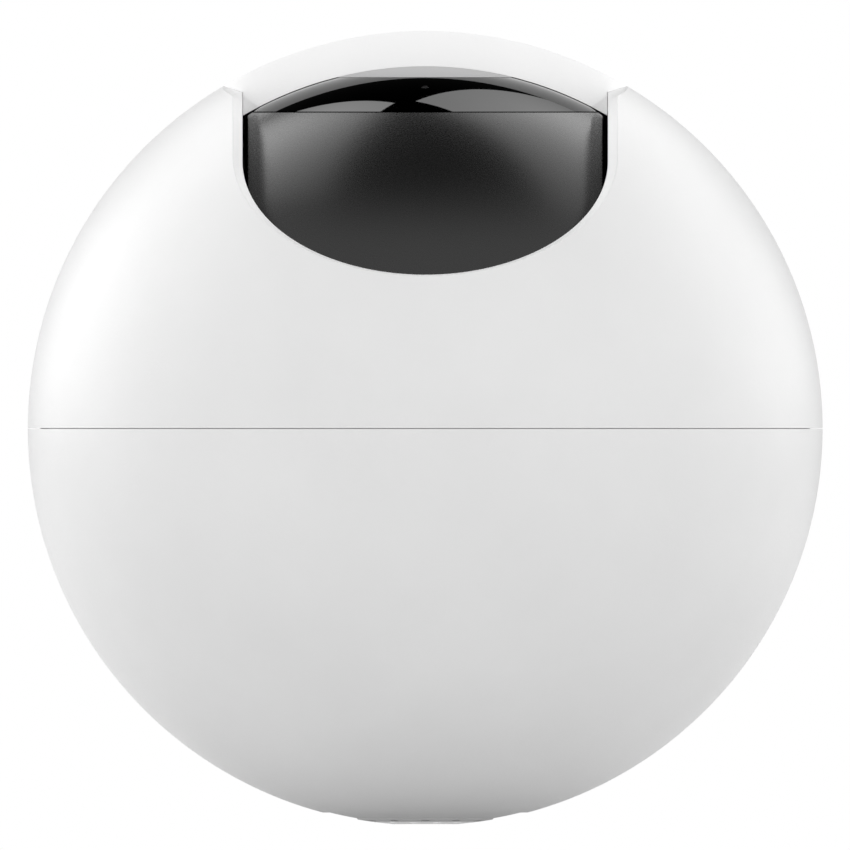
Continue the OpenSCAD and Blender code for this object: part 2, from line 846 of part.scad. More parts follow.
plate_t = 2;
sensor_low = ledge_top + plate_t;
sensor_top = sensor_low + 1.2;
chip_top = sensor_top + 1;
holder_top = sensor_top + 4;
barrel_r = 6.2;
barrel_top = flat_z - glass_t - 0.8;
collar_z = barrel_top - 5.7;

module lens_barrel() color(black) difference() {
  union() {
    block([-7.5, -7.5, sensor_top], [7.5, 7.5, holder_top]);
    rod_z(barrel_r, holder_top - eps, barrel_top);
    rod_z(barrel_r + 2.2, collar_z, collar_z + 1);
  }
  block([-4.5, -4.5, sensor_top - 1], [4.5, 4.5, chip_top + 0.6]);
  rod_z(3.5, sensor_top, barrel_top + 1);
  rod_z(5, barrel_top - 4, barrel_top + 1);
}

module front_lens() color("lightsteelblue") intersection() {
  rod_z(5, barrel_top - 4, barrel_top + 1);
  translate([0, 0, barrel_top - 9.4]) ball(9);
}

ir_in = barrel_r + 0.6;
ir_out = 13;
ir_low = collar_z + 1;

module ir_board() color(green) tube_z(ir_out, ir_in, ir_low, ir_low + 0.8);

module ir_leds() color("lavender")
  for (i = [0 : 5]) rotate(i * 60 + 30) rod_z(1.4, ir_low + 0.8, ir_low + 2.6, [10.2, 0]);

module lens_plate() color(steel) difference() {
  block([-side_in + eps, -12, ledge_top], [side_in - eps, 12, ledge_top + plate_t]);
  for (p = ledge_holes) rod_z(0.9, ledge_top - 1, ledge_top + plate_t + 1, p);
}

module plate_screws() color(steel)
  for (p = ledge_holes) screw_down(p, ledge_top + plate_t, 1.3, 0.6, 0.7, plate_t + 2.4);

module sensor_board() color(green)
  block([-11, -11, sensor_low], [11, 11, sensor_top]);

module image_sensor() color("#404850")
  block([-4, -4, sensor_top], [4, 4, chip_top]);

// Pin that the eye tilts on, with its flange inside the eye's side wall
module tilt_pin(side, end) {
  mirror([side > 0 ? 0 : 1, 0, 0]) {
    rod_x(pin_r, side_in - eps, end);
    rod_x(pin_r + 2.5, side_in - 1.6, side_in);
  }
}

module pin_left() color(steel) tilt_pin(-1, yoke_out + 0.8);

module pin_right() color(steel) tilt_pin(1, tilt_gear_x + tilt_gear_t);

module tilt_gear() color("ivory") difference() {
  slab_x(tilt_gear_x, tilt_gear_x + tilt_gear_t) gear_outline(tilt_module, tilt_teeth);
  rod_x(pin_r, 0, far);
}

lower_shell();
grille_cap();
tripod_insert();
speaker_gasket();
speaker();
main_board();
board_chips();
antenna_board();
board_screws();
base_frame();
frame_screws();
pan_bush();
pan_motor();
pan_motor_screws();
port_board();
usb_socket();
card_socket();
reset_switch();
reset_button();
pan_pinion();
upper_shell();
crown_cover();
wiper_lip();
head_chassis();
shell_screws();
pan_gear();
hub_ring();
yoke_left();
yoke_right();
yoke_screws();
bush_left();
bush_right();
tilt_bracket();
bracket_screws();
tilt_motor();
tilt_motor_screws();
tilt_pinion();
eye_shell();
eye_cap();
lens_window();
status_light();
lens_barrel();
front_lens();
ir_board();
ir_leds();
lens_plate();
plate_screws();
sensor_board();
image_sensor();
pin_left();
pin_right();
tilt_gear();
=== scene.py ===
# Looks of the ball-shaped security camera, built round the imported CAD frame.
# Meshes are modelled in millimetres in the frame's own axes and scaled to metres
# when they are finished. Angles on the ball are counted from its top to the front.
import json
import math

import bpy
import numpy as np
from mathutils import Matrix, Vector


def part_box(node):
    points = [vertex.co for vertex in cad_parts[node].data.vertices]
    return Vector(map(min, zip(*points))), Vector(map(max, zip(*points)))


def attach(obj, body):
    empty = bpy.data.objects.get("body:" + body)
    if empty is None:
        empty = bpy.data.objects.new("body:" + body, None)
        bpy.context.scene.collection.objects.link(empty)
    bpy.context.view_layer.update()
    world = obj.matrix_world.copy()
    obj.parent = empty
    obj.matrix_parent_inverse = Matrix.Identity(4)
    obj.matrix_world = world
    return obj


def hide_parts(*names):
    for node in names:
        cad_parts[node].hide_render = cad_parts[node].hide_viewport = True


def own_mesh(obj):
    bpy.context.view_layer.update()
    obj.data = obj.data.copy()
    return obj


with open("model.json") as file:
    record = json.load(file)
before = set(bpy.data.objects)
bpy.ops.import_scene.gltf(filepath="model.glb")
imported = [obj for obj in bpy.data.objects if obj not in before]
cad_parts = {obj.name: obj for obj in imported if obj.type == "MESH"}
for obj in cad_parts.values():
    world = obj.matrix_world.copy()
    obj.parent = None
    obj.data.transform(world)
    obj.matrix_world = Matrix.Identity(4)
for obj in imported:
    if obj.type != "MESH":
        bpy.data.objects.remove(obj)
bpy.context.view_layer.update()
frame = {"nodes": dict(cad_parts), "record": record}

MM = 0.001


def corners(node):
    """Lowest and highest corner of a CAD node, in millimetres."""
    low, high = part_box(node)
    return Vector(low) / MM, Vector(high) / MM


# Sizes read from the frame ----------------------------------------------------
shell_low, shell_high = corners("lower_shell")
cap_low, cap_high = corners("eye_cap")
eye_low, eye_high = corners("eye_shell")
glass_low, glass_high = corners("lens_window")
_, grille_high = corners("grille_cap")
button_low, button_high = corners("reset_button")
socket_low, socket_high = corners("usb_socket")
card_low, card_high = corners("card_socket")
screws_low, screws_high = corners("shell_screws")

BALL_R = (shell_high.x - shell_low.x) / 2
EYE_HALF = (eye_high.x - eye_low.x) / 2
CAP_Z = cap_low.z
FLAT_Z = cap_high.z
GLASS_R = (glass_high.x - glass_low.x) / 2
FLAT_R = GLASS_R + 0.35                 # flat face round the window
EYE_R = math.hypot(FLAT_R, FLAT_Z)

# Shells and the eye's opening ---------------------------------------------------
WALL = 2.4
SHELL_IN = BALL_R - WALL
SLOT_HALF = EYE_HALF + 0.55             # half of the opening's width
RIM = 1.08                              # width of the sloping rim
RIM_HALF = SLOT_HALF + RIM
RIM_SOFT = 0.22                         # radius of the rim's rounded outer edge
SLOT_ANGLE = 38.5                       # centre of the opening's round front end
SLOT_FLOOR = 20.0                       # level where the cutting tools start
FLANGE_IN = EYE_R + 0.35
FLANGE_W = 1.5
ROOT = 0.3                              # how far a web reaches into the wall
LAP_IN = SHELL_IN + 0.15                # tongue of the lower shell, inside the seam
LAP_OUT = SHELL_IN + 0.95
LAP_TOP = 0.9
LAP_SOFT = 0.1                          # chamfer of the tongue
STEP_GAP = 0.35                         # room for the tongue beside it and above it
STEP_HEAD = 0.4
SEAM = 0.035                            # half of the gap between the shells
SEAM_SOFT = 0.04                        # radius of the shells' edges at the seam

# Crown cover: its lid, its seat and the flat front wall or curtain ---------------
CURTAIN_T = 2.0
CURTAIN_IN = EYE_R + 0.1
CURTAIN_GAP = 0.06                      # gap between the curtain and the opening
CURTAIN_SINK = 0.6                      # the curtain ends this far inside the lid
CROWN_ANGLE = 30.5
SEAT_SLOPE = 16.5
SEAT_LEAN = 4.0                         # the front flats lean forward
SEAT_STEP = 0.02                        # and lie this much lower
SEAT_OVER = 0.01                        # overlap of the rear cut with the front cuts
CORNER_ARC = 33.65
CORNER_DROP = 0.37
CORNER_STEP = 0.7                       # depth of the step in the curtain's lower corners

# Eye ----------------------------------------------------------------------------
EYE_IN = EYE_R - 1.8
SIDE_IN = EYE_HALF - 2.2
BAND_W = 1.35                           # cone between the round face and the sides
BAND_SLOPE = 36.0
APRON_FROM = 45.0
APRON_TO = SLOT_ANGLE + math.degrees(math.asin(RIM_HALF / BALL_R)) + 6
APRON_IN = EYE_IN - 1.6
REAR_TO = 42.0                          # end of the eye's wall behind the lens

# Tools --------------------------------------------------------------------------
FAR = 80.0                              # beyond any solid
BULGE = 1.3                             # a wedge's middle corner, so it clears FAR
ROUND = 360                             # sides of a large turned shape
SMALL_ROUND = 64
ON_SPHERE = 0.012                       # a corner this near a sphere lies on it
FACES_OUT = 0.9


# Mesh tools ---------------------------------------------------------------------
def solid(name, vertices, faces, place=None):
    mesh = bpy.data.meshes.new(name)
    mesh.from_pydata([tuple(v) for v in vertices], [], faces)
    if place is not None:
        mesh.transform(place)
    mesh.update()
    piece = bpy.data.objects.new(name, mesh)
    bpy.context.scene.collection.objects.link(piece)
    return piece


def lathe(name, profile, place=None, sides=ROUND):
    """Closed solid turned about Z from a closed outline of (radius, height) points."""
    rings, vertices = [], []
    for radius, height in profile:
        if radius < 1e-7:
            rings.append([len(vertices)] * sides)
            vertices.append((0.0, 0.0, height))
        else:
            rings.append(list(range(len(vertices), len(vertices) + sides)))
            for k in range(sides):
                a = 2 * math.pi * k / sides
                vertices.append((radius * math.cos(a), radius * math.sin(a), height))
    faces = []
    for i, ring in enumerate(rings):
        following = rings[(i + 1) % len(rings)]
        for k in range(sides):
            m = (k + 1) % sides
            loop = []
            for v in (ring[k], ring[m], following[m], following[k]):
                if v not in loop:
                    loop.append(v)
            if len(loop) > 2:
                faces.append(loop)
    piece = solid(name, vertices, faces, place)
    outward(piece)
    return piece


def outward(piece):
    """Turns the faces of a closed solid outwards."""
    mesh = piece.data
    mesh.calc_loop_triangles()
    points = np.empty(len(mesh.vertices) * 3)
    mesh.vertices.foreach_get("co", points)
    points = points.reshape(-1, 3)
    triangles = np.empty(len(mesh.loop_triangles) * 3, dtype=np.int32)
    mesh.loop_triangles.foreach_get("vertices", triangles)
    a, b, c = (points[triangles.reshape(-1, 3)[:, i]] for i in range(3))
    if np.einsum("ij,ij->i", a, np.cross(b, c)).sum() < 0:
        mesh.flip_normals()


def box(name, low, high, place=None):
    x0, y0, z0 = low
    x1, y1, z1 = high
    vertices = [(x, y, z) for x in (x0, x1) for y in (y0, y1) for z in (z0, z1)]
    faces = [(0, 1, 3, 2), (4, 6, 7, 5), (0, 4, 5, 1), (2, 3, 7, 6), (0, 2, 6, 4), (1, 5, 7, 3)]
    piece = solid(name, vertices, faces, place)
    outward(piece)
    return piece


def prism(name, outline, x0, x1):
    """Solid along X from an outline of (y, z) points."""
    n = len(outline)
    vertices = [(x, y, z) for x in (x0, x1) for y, z in outline]
    faces = [tuple(range(n - 1, -1, -1)), tuple(range(n, 2 * n))]
    faces += [(i, (i + 1) % n, n + (i + 1) % n, n + i) for i in range(n)]
    piece = solid(name, vertices, faces)
    outward(piece)
    return piece


def arc(radius, start, end, steps, centre=(0.0, 0.0)):
    """Points of a circle between two angles in degrees, counted from the second axis."""
    points = []
    for i in range(steps + 1):
        a = math.radians(start + (end - start) * i / steps)
        points.append((centre[0] + radius * math.sin(a), centre[1] + radius * math.cos(a)))
    return points


def ball(name, radius):
    """Sphere with its poles on the tilt axis."""
    return lathe(name, arc(radius, 0, 180, 180), Matrix.Rotation(math.radians(90), 4, "Y"))


def rod(name, radius, start, end, axis="Z", at=(0.0, 0.0), sides=SMALL_ROUND):
    profile = [(0, start), (radius, start), (radius, end), (0, end)]
    if axis == "Z":
        place = Matrix.Translation((at[0], at[1], 0))
    elif axis == "X":
        place = Matrix.Translation((0, at[0], at[1])) @ Matrix.Rotation(math.radians(90), 4, "Y")
    else:
        place = Matrix.Translation((at[0], 0, at[1])) @ Matrix.Rotation(math.radians(-90), 4, "X")
    return lathe(name, profile, place, sides)


def carve(piece, operation, *tools):
    """Applies DIFFERENCE, UNION or INTERSECT with each tool and removes the tools."""
    for tool in tools:
        modifier = piece.modifiers.new("carve", "BOOLEAN")
        modifier.operation = operation
        modifier.solver = "MANIFOLD"
        modifier.object = tool
    bpy.context.view_layer.update()
    graph = bpy.context.evaluated_depsgraph_get()
    result = bpy.data.meshes.new_from_object(piece.evaluated_get(graph))
    old = piece.data
    piece.modifiers.clear()
    piece.data = result
    bpy.data.meshes.remove(old)
    for tool in tools:
        mesh = tool.data
        bpy.data.objects.remove(tool)
        bpy.data.meshes.remove(mesh)
    return piece


def shade(piece, radii=(), sharp=24.0):
    """Smooth shading that is exact on the spheres of the given radii about the origin."""
    mesh = piece.data
    mesh.polygons.foreach_set("use_smooth", [True] * len(mesh.polygons))
    mesh.set_sharp_from_angle(angle=math.radians(sharp))
    mesh.update()
    count = len(mesh.loops)
    normals = np.empty(count * 3, dtype=np.float32)
    mesh.corner_normals.foreach_get("vector", normals)
    normals = normals.reshape(-1, 3).astype(float)
    points = np.empty(len(mesh.vertices) * 3)
    mesh.vertices.foreach_get("co", points)
    points = points.reshape(-1, 3)
    lengths = np.linalg.norm(points, axis=1)
    for face in mesh.polygons:
        on = lengths[list(face.vertices)]
        for radius in radii:
            if abs(on.min() - radius) < ON_SPHERE and abs(on.max() - radius) < ON_SPHERE:
                out = Vector(face.center).normalized()
                way = face.normal.dot(out)
                if abs(way) > FACES_OUT:
                    sign = math.copysign(1.0, way)
                    for k in face.loop_indices:
                        p = points[mesh.loops[k].vertex_index]
                        normals[k] = sign * p / np.linalg.norm(p)
                break
    mesh.normals_split_custom_set([tuple(n) for n in normals])
    mesh.update()


def finish_piece(piece, name, body, node, material):
    """Scales a solid to metres, dresses it and puts it in the place of its CAD node."""
    piece.name = name
    piece.data.name = name
    piece.data.transform(Matrix.Scale(MM, 4))
    piece.data.materials.clear()
    piece.data.materials.append(material)
    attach(piece, body)
    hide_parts(node)


# Materials ----------------------------------------------------------------------
def new_material(name):
    material = bpy.data.materials.new(name)
    material.use_nodes = True
    nodes, links = material.node_tree.nodes, material.node_tree.links
    return material, nodes, links, nodes["Principled BSDF"]


def noise(nodes, links, scale, detail=3.0, stretch=None):
    """Noise in the object's own metres; stretch squeezes it along an axis."""
    place = nodes.new("ShaderNodeTexCoord")
    texture = nodes.new("ShaderNodeTexNoise")
    texture.inputs["Scale"].default_value = scale
    texture.inputs["Detail"].default_value = detail
    source = place.outputs["Object"]
    if stretch:
        mapping = nodes.new("ShaderNodeMapping")
        mapping.inputs["Scale"].default_value = stretch
        links.new(source, mapping.inputs["Vector"])
        source = mapping.outputs["Vector"]
    links.new(source, texture.inputs["Vector"])
    return texture.outputs["Fac"]


def ramp(nodes, links, source, low, high, start=0.3, end=0.7):
    """Colour that runs from low to high as the source goes from start to end."""
    node = nodes.new("ShaderNodeValToRGB")
    node.color_ramp.elements[0].position = start
    node.color_ramp.elements[0].color = (*low, 1)
    node.color_ramp.elements[1].position = end
    node.color_ramp.elements[1].color = (*high, 1)
    links.new(source, node.inputs["Fac"])
    return node.outputs["Color"]


def spread(nodes, links, source, low, high):
    node = nodes.new("ShaderNodeMapRange")
    node.inputs["From Min"].default_value = 0.3
    node.inputs["From Max"].default_value = 0.7
    node.inputs["To Min"].default_value = low
    node.inputs["To Max"].default_value = high
    links.new(source, node.inputs["Value"])
    return node.outputs["Result"]


def bumps(nodes, links, shader, source, height, strength=1.0):
    node = nodes.new("ShaderNodeBump")
    node.inputs["Strength"].default_value = strength
    node.inputs["Distance"].default_value = height
    links.new(source, node.inputs["Height"])
    links.new(node.outputs["Normal"], shader.inputs["Normal"])


def plastic(name, low, high, rough, grain_scale, grain_height, specular=0.5):
    """Moulded plastic: slight tone drift, uneven gloss and a fine eroded grain."""
    material, nodes, links, shader = new_material(name)
    drift = noise(nodes, links, 60.0)
    grain = noise(nodes, links, grain_scale, 2.0)
    links.new(ramp(nodes, links, drift, low, high), shader.inputs["Base Color"])
    links.new(spread(nodes, links, grain, rough[0], rough[1]), shader.inputs["Roughness"])
    bumps(nodes, links, shader, grain, grain_height)
    shader.inputs["Specular IOR Level"].default_value = specular
    return material


def metal(name, low, high, rough, stretch, scale=900.0):
    """Worked metal with fine scratches along one direction."""
    material, nodes, links, shader = new_material(name)
    lines = noise(nodes, links, scale, 3.0, stretch)
    links.new(ramp(nodes, links, lines, low, high), shader.inputs["Base Color"])
    links.new(spread(nodes, links, lines, rough[0], rough[1]), shader.inputs["Roughness"])
    bumps(nodes, links, shader, lines, 0.00001)
    shader.inputs["Metallic"].default_value = 1.0
    return material


def circuit_board(name):
    """Green solder mask with a pattern of traces under it."""
    material, nodes, links, shader = new_material(name)
    place = nodes.new("ShaderNodeTexCoord")
    cells = nodes.new("ShaderNodeTexVoronoi")
    cells.distance = "MANHATTAN"
    cells.feature = "F1"
    cells.inputs["Scale"].default_value = 420.0
    links.new(place.outputs["Object"], cells.inputs["Vector"])
    traces, gaps = (0.02, 0.16, 0.06), (0.008, 0.07, 0.03)
    mask = ramp(nodes, links, cells.outputs["Distance"], traces, gaps, 0.42, 0.5)
    links.new(mask, shader.inputs["Base Color"])
    bumps(nodes, links, shader, cells.outputs["Distance"], 0.00002, 0.4)
    shader.inputs["Roughness"].default_value = 0.28
    return material


def glass(name, tint, rough, ior):
    """Coated glass with a barely uneven surface."""
    material, nodes, links, shader = new_material(name)
    drift = noise(nodes, links, 90.0)
    paler = tuple(min(1.0, 1.15 * c) for c in tint)
    links.new(ramp(nodes, links, drift, tint, paler), shader.inputs["Base Color"])
    links.new(spread(nodes, links, drift, rough, rough * 1.6), shader.inputs["Roughness"])
    shader.inputs["Transmission Weight"].default_value = 1.0
    shader.inputs["IOR"].default_value = ior
    return material


def paint_wall_glow(material):
    """Painted glow: emission on the thin front wall, up to its set-back corners, makes it brighter than
    its lighting does.
    """
    nodes, links = material.node_tree.nodes, material.node_tree.links
    shader = nodes["Principled BSDF"]
    place = nodes.new("ShaderNodeTexCoord")
    split = nodes.new("ShaderNodeSeparateXYZ")
    links.new(place.outputs["Object"], split.inputs["Vector"])
    depth = nodes.new("ShaderNodeMapRange")
    depth.inputs["From Min"].default_value = 0.001
    depth.inputs["From Max"].default_value = 0.0015
    depth.inputs["To Min"].default_value = PAINTED_WALL_GLOW
    depth.inputs["To Max"].default_value = 0.0
    links.new(split.outputs["Y"], depth.inputs["Value"])
    links.new(depth.outputs["Result"], shader.inputs["Emission Strength"])
    shader.inputs["Emission Color"].default_value = (1, 1, 1, 1)
    return material


def grey(value):
    return (value, value, value)


# painted light: emission strength of the glow painted on the crown's front wall
PAINTED_WALL_GLOW = 0.3
SHELL_WHITE = (grey(0.80), grey(0.83), (0.36, 0.5), 2600.0, 0.000012)

WHITE = plastic("white_plastic", *SHELL_WHITE)
# the crown's white, with a painted glow (emission) on its front wall
CROWN_PAINTED_GLOW = paint_wall_glow(plastic("crown_white_painted_glow", *SHELL_WHITE))
SOFT_WHITE = plastic("soft_white", grey(0.80), grey(0.82), (0.6, 0.7), 3200.0, 0.00001, 0.3)
BLACK = plastic("satin_black", grey(0.004), grey(0.006), (0.25, 0.3), 5200.0, 0.000002)
# The cap's lacquer holds down its reflections at low angles, as a dark metal does
GLOSS = plastic("gloss_black", grey(0.115), grey(0.125), (0.02, 0.035), 120.0, 0.0)
lacquer = GLOSS.node_tree.nodes["Principled BSDF"]
lacquer.inputs["Metallic"].default_value = 1.0
lacquer.inputs["Specular Tint"].default_value = (0.5, 0.5, 0.5, 1)
CHIP = plastic("chip_black", (0.02, 0.02, 0.022), (0.035, 0.035, 0.038), (0.45, 0.6), 2400.0, 0.00001)
FRAME = plastic("frame_plastic", (0.50, 0.51, 0.52), (0.58, 0.59, 0.60), (0.4, 0.55), 1800.0, 0.00001)
ACETAL = plastic("acetal", (0.76, 0.74, 0.66), (0.82, 0.80, 0.73), (0.3, 0.42), 1500.0, 0.000006)
FOAM = plastic("foam", grey(0.03), grey(0.07), (0.8, 0.95), 3000.0, 0.00008, 0.2)
BUTTON = plastic("button_grey", (0.40, 0.40, 0.41), (0.46, 0.46, 0.47), (0.45, 0.55), 2600.0, 0.00001)
STEEL = metal("steel", (0.50, 0.50, 0.52), (0.68, 0.68, 0.70), (0.24, 0.42), (1.0, 1.0, 12.0))
BRASS = metal("plated_brass", (0.60, 0.57, 0.52), (0.76, 0.73, 0.68), (0.2, 0.34), (1.0, 1.0, 9.0))
BOARD = circuit_board("circuit_board")
SMOKED = glass("smoked_glass", (0.30, 0.30, 0.33), 0.01, 1.5)
LENS = glass("lens_glass", (0.62, 0.68, 0.86), 0.01, 1.62)
PIPE = glass("light_pipe", (0.80, 0.88, 0.95), 0.12, 1.49)

SLOT_MATERIALS = {
    "white_shell": WHITE, "soft_lip": SOFT_WHITE, "eye_black": BLACK, "cap_black": GLOSS,
    "window_glass": SMOKED, "lens_glass": LENS, "frame_plastic": FRAME, "gear_plastic": ACETAL,
    "brass": BRASS, "steel": STEEL, "board": BOARD, "chip_black": CHIP, "foam": FOAM,
    "button_grey": BUTTON, "clear_pipe": PIPE,
}
node_slots = {part["node"]: part["material_slot"] for part in frame["record"]["subparts"]}
for node_name, node_object in frame["nodes"].items():
    node_object.data.materials.clear()
    node_object.data.materials.append(SLOT_MATERIALS[node_slots[node_name]])

# Camera -------------------------------------------------------------------------
CAMERA_BACK = 1.0
VIEW_WIDTH = 0.096226
VIEW_CENTRE = (-0.00002, 0.000396)
camera_data = bpy.data.cameras.new("camera")
camera_data.type = "ORTHO"
camera_data.ortho_scale = VIEW_WIDTH
camera_data.clip_end = 20.0
camera = bpy.data.objects.new("camera", camera_data)
camera.location = (VIEW_CENTRE[0], -CAMERA_BACK, VIEW_CENTRE[1])
camera.rotation_euler = (math.radians(90), 0, 0)
bpy.context.scene.collection.objects.link(camera)
bpy.context.scene.camera = camera


# Cutting tools shared by the shells -----------------------------------------------
RIM_STEPS = 8
RIM_FOOT = 0.08                         # the slope starts this far below its edge
RIM_OVER = 7                            # degrees that the soft edge runs past the surface
RIM_RUN = 3.0                           # length of the straight end beyond it


def rim_profile(half):
    """Outline (half width, height) of the opening's wall, rim and rounded outer edge."""
    out_half, wall_half = half + RIM, half
    out_h = math.sqrt(BALL_R ** 2 - out_half ** 2)
    in_r = BALL_R - RIM
    in_h = math.sqrt(in_r ** 2 - wall_half ** 2)
    along = Vector((out_half - wall_half, out_h - in_h)).normalized()
    down = Vector((along.y, -along.x))
    # Centre of the soft edge: RIM_SOFT below the rim's slope and inside the ball's surface
    base = Vector((wall_half, in_h)) + down * RIM_SOFT
    b = base.dot(along)
    c = base.length_squared - (BALL_R - RIM_SOFT) ** 2
    reach = -b + math.sqrt(b * b - c)
    centre = base + along * reach
    start = math.atan2(-down.y, -down.x)
    end = math.atan2(centre.y, centre.x) + math.radians(RIM_OVER)
    points = [(wall_half, in_h - RIM_FOOT), (wall_half + 0.05, in_h)]
    for i in range(RIM_STEPS + 1):
        a = start + (end - start) * i / RIM_STEPS
        points.append((centre.x + RIM_SOFT * math.cos(a), centre.y + RIM_SOFT * math.sin(a)))
    last = Vector(points[-1])
    beyond = last + Vector((math.sin(end), -math.cos(end))) * RIM_RUN
    points.append((beyond.x, beyond.y))
    return points


rim_points = rim_profile(SLOT_HALF)
FRONT_TURN = Matrix.Rotation(math.radians(SLOT_ANGLE), 4, "X")
ABOUT_X = Matrix(((0, 0, 1, 0), (1, 0, 0, 0), (0, 1, 0, 0), (0, 0, 0, 1)))


def on_side(angle, reach):
    """Point (y, z) in the side view at an angle from the top to the front."""
    a = math.radians(angle)
    return (-reach * math.sin(a), reach * math.cos(a))


def sector(name, start, end, half=FAR):
    """Wedge along X between two angles on the ball."""
    middle = (start + end) / 2
    outline = [(0.0, 0.0), on_side(start, FAR), on_side(middle, BULGE * FAR), on_side(end, FAR)]
    return prism(name, outline, -half, half)


SLICE_OVER = -0.02                      # the straight part starts just behind the top
REAR_OVER = 0.5
CURTAIN_CUT = 0.05                      # room behind the curtain


def slot_tools():
    """The opening's round end, its straight sides and its rear part."""
    top = rim_points[-1]
    end_outline = [(0, SLOT_FLOOR), (SLOT_HALF, SLOT_FLOOR)] + rim_points + [(top[0], FAR), (0, FAR)]
    round_end = lathe("round_end", end_outline, FRONT_TURN)
    side = [(SLOT_FLOOR, SLOT_HALF)] + [(h, s) for s, h in rim_points] + [(FAR, top[0])]
    outline = side + [(r, -x) for r, x in reversed(side)]
    straight = lathe("straight", outline, ABOUT_X)
    carve(straight, "INTERSECT", sector("slice", SLICE_OVER, SLOT_ANGLE))
    rear = box("rear", (-SLOT_HALF, -REAR_OVER, SLOT_FLOOR), (SLOT_HALF, CURTAIN_T + CURTAIN_CUT, FAR))
    return round_end, straight, rear


seat_x = BALL_R * math.sin(math.radians(CROWN_ANGLE))
seat_z = BALL_R * math.cos(math.radians(CROWN_ANGLE))
seat_fall = math.tan(math.radians(SEAT_SLOPE))


def rear_seat_tool(start=0.0):
    """Space above the conical seat of the crown cover, behind the level y = start."""
    wide = seat_x + 8
    apex = seat_z - seat_x * seat_fall
    tool = lathe("above_rear", [(0, apex), (wide, apex + wide * seat_fall), (wide, FAR), (0, FAR)])
    return carve(tool, "INTERSECT", box("rear_half", (-FAR, start, 0), (FAR, FAR, FAR)))


def front_seat_tool(side):
    """Space above one of the flats in front of the crown cover."""
    lean = Matrix.Rotation(math.radians(SEAT_LEAN), 4, "X")
    slope = Matrix.Rotation(math.radians(-side * SEAT_SLOPE), 4, "Y")
    place = Matrix.Translation((side * seat_x, 0, seat_z - SEAT_STEP)) @ (lean @ slope)
    tool = box("above_front", (-FAR, -FAR, 0), (FAR, FAR, FAR), place)
    half = box("front_half", (min(0, side * FAR), -FAR, 0), (max(0, side * FAR), 0, FAR))
    return carve(tool, "INTERSECT", half)


def shell_profile(top):
    """Half a ball shell with softly rounded edges at the seam; top is 1 or -1."""
    centre_h = SEAM + SEAM_SOFT
    centre_r = math.sqrt((BALL_R - SEAM_SOFT) ** 2 - centre_h ** 2)
    edge = math.degrees(math.atan2(centre_r, centre_h))
    outline = arc(BALL_R, 0, edge, 150)
    outline += arc(SEAM_SOFT, edge, 180, 6, (centre_r, centre_h))[1:]
    if top > 0:
        start = LAP_TOP + STEP_HEAD
        outline += [(LAP_OUT + STEP_GAP, SEAM), (LAP_OUT + STEP_GAP, start)]
    else:
        start = 0.1
        outline += [(LAP_OUT, SEAM), (LAP_OUT, LAP_SOFT - LAP_TOP)]
        outline += [(LAP_OUT - LAP_SOFT, -LAP_TOP), (LAP_IN, -LAP_TOP), (LAP_IN, SEAM)]
    outline += arc(SHELL_IN, math.degrees(math.acos(start / SHELL_IN)), 0, 90)
    return [(r, top * h) for r, h in outline]


# Upper shell --------------------------------------------------------------------
SCREW_HEAD_R = 1.8
BOSS_R = 3.0
BOSS_FOOT = 6.0                         # level of the bosses' feet
PILOT_R = 0.95
PILOT = (5.0, 13.0)                     # levels of the screw holes


def make_upper_shell():
    shell = lathe("upper_shell_skin", shell_profile(1))
    flange = ball("flange", SHELL_IN + ROOT)
    grown = SLOT_HALF + FLANGE_W
    sleeve_outline = [(0, SLOT_FLOOR), (grown, SLOT_FLOOR), (grown, FAR), (0, FAR)]
    sleeve = lathe("sleeve", sleeve_outline, FRONT_TURN)
    carve(sleeve, "UNION", sector("sleeve_sides", SLICE_OVER, SLOT_ANGLE, grown),
          box("sleeve_rear", (-grown, -REAR_OVER, SLOT_FLOOR), (grown, CURTAIN_T + FLANGE_W, FAR)))
    carve(flange, "INTERSECT", sleeve)
    carve(flange, "DIFFERENCE", ball("flange_core", FLANGE_IN))
    carve(shell, "UNION", flange)
    carve(shell, "DIFFERENCE", *slot_tools())
    carve(shell, "DIFFERENCE", rear_seat_tool(-SEAT_OVER), front_seat_tool(1), front_seat_tool(-1))
    for x, y in ((screws_low.x, screws_high.y), (screws_high.x, screws_high.y),
                 (screws_low.x, screws_low.y), (screws_high.x, screws_low.y)):
        at = (x - math.copysign(SCREW_HEAD_R, x), y - math.copysign(SCREW_HEAD_R, y))
        top = math.sqrt((SHELL_IN + 0.6) ** 2 - at[0] ** 2 - at[1] ** 2) - 2.5
        carve(shell, "UNION", rod("boss", BOSS_R, BOSS_FOOT, top, "Z", at))
        carve(shell, "DIFFERENCE", rod("pilot", PILOT_R, *PILOT, "Z", at, 32))
    shade(shell, (BALL_R, SHELL_IN, FLANGE_IN))
    finish_piece(shell, "upper_shell_skin", "head", "upper_shell", WHITE)


